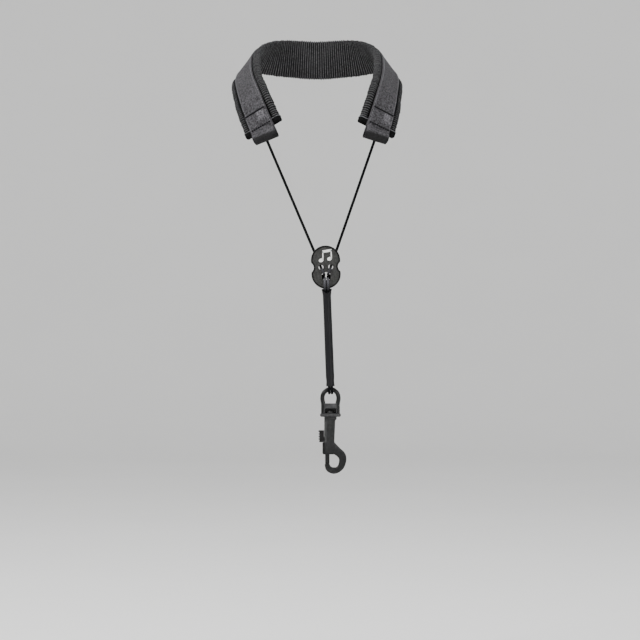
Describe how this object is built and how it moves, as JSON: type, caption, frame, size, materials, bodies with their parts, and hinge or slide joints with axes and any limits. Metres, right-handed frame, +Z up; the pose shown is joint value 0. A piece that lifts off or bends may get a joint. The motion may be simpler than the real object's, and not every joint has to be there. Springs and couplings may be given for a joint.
{
  "type": "saxophone neck strap",
  "caption": "Padded neck band with cords, a violin-shaped cord adjuster, a sleeve and a swivel snap hook, for carrying a wind instrument.",
  "frame": {"origin": "middle of the band's inner face at the nape, where the strap rests on the neck", "axes": "+Z up, +X to the right seen from the front, -Y the way the wearer faces"},
  "size_m": [0.1764, 0.1829, 0.4506],
  "materials": {
    "ribbed_fabric": "ribbed knit over foam",
    "foam": "closed-cell foam",
    "grey_webbing": "woven nylon",
    "cord": "braided",
    "moulded_plastic": "matte",
    "dark_plastic": "semi-gloss",
    "silver_print": "silver foil",
    "sleeve_rubber": "smooth",
    "spring_steel": "bright wire"
  },
  "bodies": {
    "neck_band": {"ribbed_cover": "ribbed_fabric", "pad_core": "foam", "left_hem": "ribbed_fabric", "right_hem": "ribbed_fabric", "webbing": "grey_webbing", "left_anchor_knot": "cord", "right_anchor_knot": "cord", "left_cord": "cord", "right_cord": "cord"},
    "adjuster": {"slider_plate": "moulded_plastic", "emblem": "silver_print", "left_weave": "cord", "right_weave": "cord", "left_return": "cord", "right_return": "cord", "left_end_knot": "cord", "right_end_knot": "cord"},
    "lower_line": {"sleeve": "sleeve_rubber", "left_bow_loop": "cord", "right_bow_loop": "cord"},
    "eye": {"swivel_eye": "dark_plastic"},
    "hook": {"hook_body": "moulded_plastic", "bolt_spring": "spring_steel"},
    "snap_bolt": {"bolt": "dark_plastic"}
  },
  "joints": [
    {"name": "slider_slide", "type": "slide", "parent": "neck_band", "child": "adjuster", "axis": [-0.0384, 0, 0.9993], "range_m": [0, 0.09], "deforming": ["left_cord", "right_cord"]},
    {"name": "hook_lift", "type": "slide", "parent": "neck_band", "child": "lower_line", "axis": [-0.0384, 0, 0.9993], "range_m": [0, 0.045]},
    {"name": "eye_swing", "type": "hinge", "parent": "lower_line", "child": "eye", "pos_m": [0.01338, -0.16776, -0.34471], "axis": [1, 0, 0], "range_deg": [-90, 90]},
    {"name": "hook_swivel", "type": "hinge", "parent": "eye", "child": "hook", "pos_m": [0.01338, -0.16776, -0.371], "axis": [0, 0, 1], "continuous": true},
    {"name": "bolt_slide", "type": "slide", "parent": "hook", "child": "snap_bolt", "axis": [0, 0, 1], "range_m": [0, 0.0092], "stiffness_N_per_m": 300, "springref_m": -0.005, "deforming": ["bolt_spring"]}
  ],
  "couplings": [
    {"joint": "hook_lift", "follows": "slider_slide", "ratio": 0.5}
  ]
}
